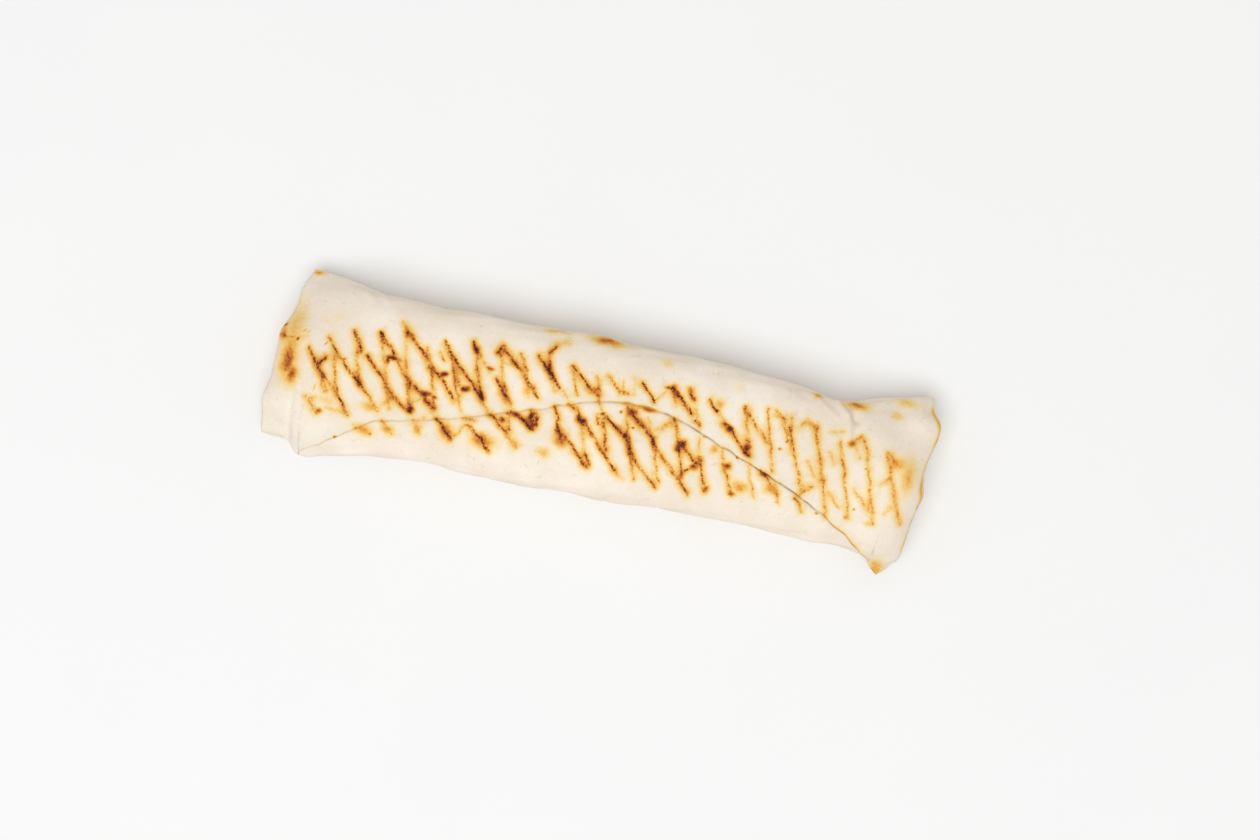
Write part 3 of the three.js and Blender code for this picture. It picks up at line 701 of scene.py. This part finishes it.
# The rims of the two ends: toast, its width, and where along the end it comes in and goes out. The right
# rim's band is partly toast and partly painted shade along the end's edge.
RIGHT_RIM = (0.46, 1.1, (-33, -24), (32, 37))
LEFT_RIM = (0.2, 1.6, (2, 10), (24, 30))
FOLDED_TOAST = 0.16
MOST_WARMTH = 1.5


def flank_toast(points, side_ways):
    """Blisters that the bake stone browned, scattered over the two flanks."""
    x, y, z = points.T
    draw = np.random.default_rng(47)
    total = np.zeros_like(x)
    middle = (far_side(x) + near_side(x)) / 2
    for flank in (1, -1):
        spots = []
        for hard in draw.uniform(0.08, 0.6, BLISTERS):
            at = draw.uniform(-122, 112), draw.uniform(2, 19)
            spots.append((*at, draw.uniform(0.8, 3.8), draw.uniform(0.7, 1.9), hard))
        total = np.where((y - middle) * flank > 0, patch_field(x, z, spots), total)
    return total * side_ways


def browning(points, nz, edge, loose):
    """What the grill and the bake stone left at every vertex, and painted shade along the free edge and the
    right end's rim, for the bread's material to draw from.
    """
    x, y = points[:, 0], points[:, 1]
    x, y = x + bumps(STRAYS[0], x, y), y + bumps(STRAYS[1], x, y)
    main = len(nz)  # the roll's own points; the end caps' come after them
    up, down, facing_up, side_ways, lip, seam_shade_and_toast = np.zeros((6, len(x)))
    up[:main] = smooth(nz, *CROWN_BROWNS)
    down[:main] = smooth(-nz, *UNDERSIDE_BROWNS)
    facing_up[:main] = smooth(nz, *SEEN_BROWNS)
    side_ways[:main] = 1 - smooth(np.abs(nz), *FLANK_STOPS)
    top = up > 0
    fields = {}
    warmth = np.zeros_like(x)
    under = underside_bars(31)
    for name, over_bars, under_bars in (("shallow", SHALLOW_BARS, under[0]), ("steep", STEEP_BARS, under[1])):
        aside, apart, burn, warm = bar_fields(x, y, over_bars)
        below = bar_fields(x, y, under_bars)
        fields[name + "_aside"] = np.where(top, aside, below[0])
        fields[name + "_apart"] = np.where(top, apart, below[1])
        fields[name + "_burn"] = np.where(top, burn * up, below[2] * down)
        warmth += np.where(top, warm * up, below[3] * down)
    fields["warmth"] = np.minimum(warmth, MOST_WARMTH)
    specks = [(px, py, 0.6 * size + 0.15, 0.45 * size + 0.15, SPECK_HARD) for px, py, size in SPECKS]
    fields["scorch"] = patch_field(x, y, PATCHES + specks) * up
    toast_and_rim_shade = patch_field(x, y, OVEN_SPOTS) * facing_up
    toast_and_rim_shade = np.maximum(toast_and_rim_shade, patch_field(x, y, [TIP_SPOT]) * smooth(points[:, 2], 1.0, 4.0))
    far = smooth(x, *CORNER_END)
    lip[:main] = loose * np.where(edge >= 0, np.exp(-edge / lerp(0.6, 1.1, far[:main])), 0)
    toast_and_rim_shade = np.maximum(toast_and_rim_shade, lip * lerp(*EDGE_TOAST, far))
    # A dark line along the free edge, deepest just below it: painted contact shade where the edge meets the
    # turn below, partly a browned edge.
    seam_shade_and_toast[:main] = loose * np.exp(-((edge / np.where(edge < 0, SEAM_BELOW, SEAM_ABOVE)) ** 2))
    fields["seam_shade_and_toast"] = seam_shade_and_toast * lerp(*SEAM_DARK, smooth(x, -20, 50))
    rims = 0
    for inwards, (hard, width, begins, fades) in ((right_end(y) - x, RIGHT_RIM), (x - left_end(y), LEFT_RIM)):
        rim = hard * np.exp(-((inwards / width) ** 2))
        rims = rims + rim * smooth(y, *begins) * (1 - smooth(y, *fades))
    # Rims of the ends; the right one's brown band is partly painted shade along the end's edge.
    toast_and_rim_shade = np.maximum(toast_and_rim_shade, rims * facing_up)
    toast_and_rim_shade = np.maximum(toast_and_rim_shade, flank_toast(points, side_ways))
    folded = np.ones(len(x))
    folded[:main] = 0
    patchy = 0.5 + 0.5 * ripples(21, 9, points[:, 1], points[:, 2] * 2.5, x * 0.2)
    fields["toast_and_rim_shade"] = np.maximum(toast_and_rim_shade, folded * FOLDED_TOAST * np.clip(patchy, 0, 1))
    return fields


# ---- Finishes ----


def linear(code):
    """Linear light from an sRGB hex colour."""
    parts = [int(code[k : k + 2], 16) / 255 for k in (1, 3, 5)]
    return (*[p / 12.92 if p <= 0.04045 else ((p + 0.055) / 1.055) ** 2.4 for p in parts], 1.0)


def add(tree, kind, inputs=None, out=0, stops=None, **settings):
    """Adds a node: its settings, its inputs as numbers or links, a ramp's stops. Gives back one output."""
    made = tree.nodes.new(kind)
    for name, value in settings.items():
        setattr(made, name, value)
    for name, value in (inputs or {}).items():
        if isinstance(value, bpy.types.NodeSocket):
            tree.links.new(value, made.inputs[name])
        else:
            made.inputs[name].default_value = value
    for k, (place, colour) in enumerate(stops or ()):
        ramp = made.color_ramp.elements
        stop = ramp[k] if k < 2 else ramp.new(place)
        stop.position, stop.color = place, linear(colour)
    return None if out is None else made.outputs[out]


def new_material(name):
    made = bpy.data.materials.new(name)
    made.use_nodes = True
    made.node_tree.nodes.clear()
    return made, made.node_tree


# What browning does to bread, as the share of light it leaves: gold, amber, brown, then char.
BROWNING = [
    (0.0, "#FFFFFF"), (0.12, "#FFF5D4"), (0.26, "#FFE39C"), (0.42, "#F7C362"), (0.56, "#E19B42"),
    (0.7, "#C06E28"), (0.85, "#893F15"), (1.0, "#4A1C0C"),
]


def baked_flatbread():
    """Thin wheat flatbread, baked on a hot stone and then pressed in a ribbed grill. Dry and matt, creamy,
    clouded with flour and paler and darker dough, with gold to black marks where the ribs touched."""
    material, tree = new_material("baked_flatbread")
    place = add(tree, "ShaderNodeTexCoord", out="Object")
    grain = {
        name: add(
            tree,
            "ShaderNodeTexNoise",
            {"Vector": place, "Scale": 1 / (size * MM), "Detail": detail, "Roughness": rough},
        )
        for name, size, detail, rough in (  # sizes in mm
            ("crumb", 0.4, 3.0, 0.55),  # the dry skin's grain
            ("flecks", 0.9, 1.0, 0.5),  # where the char took first
            ("pores", 1.3, 3.0, 0.6),
            ("blisters", 4.2, 2.0, 0.5),
            ("clouds", 14.0, 4.0, 0.6),
            ("broad", 45.0, 2.0, 0.5),
        )
    }

    # Bars: ragged lines, hottest in their middles and patchy along their length.
    ragged = add(tree, "ShaderNodeMath", {0: grain["pores"], 1: 1.4, 2: -1.7}, operation="MULTIPLY_ADD")
    ragged = add(tree, "ShaderNodeMath", {0: grain["blisters"], 1: 2.0, 2: ragged}, operation="MULTIPLY_ADD")
    patchy = add(
        tree,
        "ShaderNodeMapRange",
        {"Value": grain["blisters"], "From Min": 0.36, "From Max": 0.6, "To Min": 0.5, "To Max": 1.03},
    )
    flecked = add(
        tree,
        "ShaderNodeMapRange",
        {"Value": grain["flecks"], "From Min": 0.4, "From Max": 0.6, "To Min": 0.62, "To Max": 1.16},
    )
    cold = []
    for name in ("shallow", "steep"):
        aside = add(tree, "ShaderNodeAttribute", attribute_name=name + "_aside", out="Fac")
        burn = add(tree, "ShaderNodeAttribute", attribute_name=name + "_burn", out="Fac")
        apart = add(tree, "ShaderNodeAttribute", attribute_name=name + "_apart", out="Fac")
        away = add(tree, "ShaderNodeMath", {0: aside}, operation="ABSOLUTE")
        away = add(tree, "ShaderNodeMath", {0: away, 1: apart}, operation="MAXIMUM")
        away = add(tree, "ShaderNodeMath", {0: away, 1: ragged}, operation="ADD")
        core = add(
            tree,
            "ShaderNodeMapRange",
            {"Value": away, "From Min": 0.1, "From Max": 1.5, "To Min": 0.9, "To Max": 0.0},
            interpolation_type="SMOOTHSTEP",
        )
        core = add(tree, "ShaderNodeMath", {0: core, 1: flecked}, operation="MULTIPLY")
        fringe = add(
            tree,
            "ShaderNodeMapRange",
            {"Value": away, "From Min": 0.3, "From Max": 3.2, "To Min": 0.46, "To Max": 0.0},
        )
        hot = add(tree, "ShaderNodeMath", {0: core, 1: fringe}, operation="MAXIMUM")
        hot = add(tree, "ShaderNodeMath", {0: hot, 1: burn}, operation="MULTIPLY")
        hot = add(tree, "ShaderNodeMath", {0: hot, 1: patchy}, operation="MULTIPLY", use_clamp=True)
        cold.append(add(tree, "ShaderNodeMath", {0: 1.0, 1: hot}, operation="SUBTRACT"))
    both = add(tree, "ShaderNodeMath", {0: cold[0], 1: cold[1]}, operation="MULTIPLY")
    both = add(tree, "ShaderNodeMath", {0: 1.0, 1: both}, operation="SUBTRACT")

    uneven = add(
        tree,
        "ShaderNodeMapRange",
        {"Value": grain["pores"], "From Min": 0.35, "From Max": 0.62, "To Min": 1.08, "To Max": 0.8},
    )
    scorch = add(tree, "ShaderNodeAttribute", attribute_name="scorch", out="Fac")
    scorch = add(tree, "ShaderNodeMath", {0: scorch, 1: uneven}, operation="MULTIPLY")
    heat = add(tree, "ShaderNodeMath", {0: both, 1: scorch}, operation="MAXIMUM")
    warmth = add(tree, "ShaderNodeAttribute", attribute_name="warmth", out="Fac")
    drift = add(
        tree,
        "ShaderNodeMapRange",
        {"Value": grain["clouds"], "From Min": 0.38, "From Max": 0.62, "To Min": 0.06, "To Max": 0.26},
    )
    heat = add(tree, "ShaderNodeMath", {0: warmth, 1: drift, 2: heat}, operation="MULTIPLY_ADD")
    # This attribute carries oven spots, the browned free edge, tip and rims, and the right rim's painted
    # shade.
    toast_and_rim_shade = add(tree, "ShaderNodeAttribute", attribute_name="toast_and_rim_shade", out="Fac")
    heat = add(
        tree, "ShaderNodeMath", {0: toast_and_rim_shade, 1: uneven, 2: heat}, operation="MULTIPLY_ADD", use_clamp=True
    )
    browned = add(tree, "ShaderNodeValToRGB", {"Fac": heat}, out="Color", stops=BROWNING)

    # Dough: cream, paler where flour lies, a little tan where it is thin, with a few baked freckles.
    cloudy = add(tree, "ShaderNodeMapRange", {"Value": grain["clouds"], "From Min": 0.36, "From Max": 0.64})
    creams = {0: cloudy, 6: linear("#F6ECE0"), 7: linear("#F0E3D3")}
    dough = add(tree, "ShaderNodeMix", creams, out=2, data_type="RGBA")
    thin = add(
        tree,
        "ShaderNodeMapRange",
        {"Value": grain["broad"], "From Min": 0.42, "From Max": 0.66, "To Max": 0.6},
    )
    dough = add(tree, "ShaderNodeMix", {0: thin, 6: dough, 7: linear("#EADCC9")}, out=2, data_type="RGBA")
    freckles = add(
        tree,
        "ShaderNodeTexNoise",
        {"Vector": place, "Scale": 1 / (2.6 * MM), "Detail": 2.0, "Roughness": 0.6, "Distortion": 0.6},
    )
    freckles = add(
        tree, "ShaderNodeMapRange", {"Value": freckles, "From Min": 0.62, "From Max": 0.74, "To Max": 0.34}
    )
    dough = add(tree, "ShaderNodeMix", {0: freckles, 6: dough, 7: linear("#D3B48E")}, out=2, data_type="RGBA")
    flour = add(
        tree,
        "ShaderNodeMapRange",
        {"Value": grain["pores"], "From Min": 0.55, "From Max": 0.72, "To Max": 0.4},
    )
    dough = add(tree, "ShaderNodeMix", {0: flour, 6: dough, 7: linear("#F9F3EA")}, out=2, data_type="RGBA")
    # Darken a thin line along the free edge: painted contact shade of the gap under the edge, partly a
    # browned edge.
    seam_shade_and_toast = add(tree, "ShaderNodeAttribute", attribute_name="seam_shade_and_toast", out="Fac")
    seam_shade_and_toast = add(tree, "ShaderNodeMath", {0: seam_shade_and_toast, 1: patchy}, operation="MULTIPLY", use_clamp=True)
    dough = add(tree, "ShaderNodeMix", {0: seam_shade_and_toast, 6: dough, 7: linear("#A3805A")}, out=2, data_type="RGBA")
    colour = add(
        tree, "ShaderNodeMix", {0: 1.0, 6: dough, 7: browned}, out=2, data_type="RGBA", blend_type="MULTIPLY"
    )

    # Relief too fine for the mesh: dry grain, small blisters, and the cracked crust of the char.
    height = add(tree, "ShaderNodeMath", {0: grain["pores"], 1: 0.30}, operation="MULTIPLY")
    height = add(tree, "ShaderNodeMath", {0: grain["crumb"], 1: 0.12, 2: height}, operation="MULTIPLY_ADD")
    height = add(tree, "ShaderNodeMath", {0: grain["blisters"], 1: 0.45, 2: height}, operation="MULTIPLY_ADD")
    height = add(tree, "ShaderNodeMath", {0: heat, 1: -0.16, 2: height}, operation="MULTIPLY_ADD")
    normal = add(tree, "ShaderNodeBump", {"Strength": 0.6, "Distance": 0.9 * MM, "Height": height})
    dull = add(tree, "ShaderNodeMapRange", {"Value": heat, "To Min": 0.8, "To Max": 0.6})
    dull = add(
        tree,
        "ShaderNodeMath",
        {0: grain["pores"], 1: 0.16, 2: dull},
        operation="MULTIPLY_ADD",
        use_clamp=True,
    )
    shader = add(
        tree,
        "ShaderNodeBsdfPrincipled",
        {
            "Base Color": colour,
            "Roughness": dull,
            "Normal": normal,
            "IOR": 1.45,
            "Specular IOR Level": 0.3,
            "Subsurface Weight": 0.12,
            "Subsurface Radius": (1.0, 0.55, 0.3),
            "Subsurface Scale": 2.5 * MM,
        },
    )
    add(tree, "ShaderNodeOutputMaterial", {"Surface": shader}, out=None)
    return material


def pale_table():
    """A matt, off-white tabletop."""
    material, tree = new_material("pale_table")
    place = add(tree, "ShaderNodeTexCoord", out="Object")
    cloud = add(tree, "ShaderNodeTexNoise", {"Vector": place, "Scale": 9.0, "Detail": 3.0})
    colour = add(
        tree, "ShaderNodeMix", {0: cloud, 6: linear("#F0F1F3"), 7: linear("#F3F4F5")}, out=2, data_type="RGBA"
    )
    shader = add(tree, "ShaderNodeBsdfPrincipled", {"Base Color": colour, "Roughness": 0.75})
    add(tree, "ShaderNodeOutputMaterial", {"Surface": shader}, out=None)
    return material


# ---- Table, light and camera ----

VIEW_TURN = math.radians(11.5)  # the roll lies this much clockwise across the view
VIEW_CENTRE = (12.45, 3.75)
VIEW_HEIGHT = 1200.0
VIEW_LEVEL = 19.0  # the framed width is measured at this height
VIEW_WIDTH = 535.5
SENSOR = 36.0
TABLE_HALF = 3.0  # metres
TABLE_SQUARES = 8
TABLE_CLEAR = 0.05  # mm below the flat underside
WINDOW = {"across": -0.42, "up": -0.91, "elevation": 73, "away": 3.0, "size": 2.3, "power": 49.0}


def set_the_table():
    mesh = bpy.data.meshes.new("table_top")
    line = np.linspace(-TABLE_HALF, TABLE_HALF, TABLE_SQUARES + 1)
    places = [(x, y, -TABLE_CLEAR * MM) for x in line.tolist() for y in line.tolist()]
    row = TABLE_SQUARES + 1
    corners = [i * row + j for i in range(TABLE_SQUARES) for j in range(TABLE_SQUARES)]
    mesh.from_pydata(places, [], [(k, k + row, k + row + 1, k + 1) for k in corners])
    mesh.materials.append(pale_table())
    table = bpy.data.objects.new("table_top", mesh)
    bpy.context.scene.collection.objects.link(table)


def hang_the_lights():
    """One large soft window high over the near side, and an even, slightly warm white room."""
    world = bpy.data.worlds.new("white_room")
    bpy.context.scene.world = world
    world.use_nodes = True
    room = world.node_tree.nodes["Background"]
    room.inputs["Color"].default_value = (1.0, 0.955, 0.905, 1.0)
    room.inputs["Strength"].default_value = 0.62
    light = bpy.data.lights.new("window", "AREA")
    light.shape, light.size, light.energy = "DISK", WINDOW["size"], WINDOW["power"]
    light.color = (0.93, 0.975, 1.0)
    c, s = math.cos(VIEW_TURN), math.sin(VIEW_TURN)
    across, up = WINDOW["across"], WINDOW["up"]
    away = Vector((across * c - up * s, across * s + up * c, 0)).normalized()
    slope = math.radians(WINDOW["elevation"])
    lamp = bpy.data.objects.new("window", light)
    lamp.location = (away * math.cos(slope) + Vector((0, 0, math.sin(slope)))) * WINDOW["away"]
    lamp.rotation_euler = lamp.location.to_track_quat("Z", "Y").to_euler()
    bpy.context.scene.collection.objects.link(lamp)


def set_the_camera():
    camera = bpy.data.cameras.new("camera")
    camera.sensor_width = SENSOR
    camera.lens = SENSOR * (VIEW_HEIGHT - VIEW_LEVEL) / VIEW_WIDTH
    camera.clip_end = 10
    holder = bpy.data.objects.new("camera", camera)
    holder.location = (VIEW_CENTRE[0] * MM, VIEW_CENTRE[1] * MM, VIEW_HEIGHT * MM)
    holder.rotation_euler = (0, 0, VIEW_TURN)
    bpy.context.scene.collection.objects.link(holder)
    bpy.context.scene.camera = holder
    bpy.context.scene.view_settings.view_transform = "Standard"


wrap = build_wrap(baked_flatbread())
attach(wrap, "root")
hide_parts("wrap")
set_the_table()
hang_the_lights()
set_the_camera()
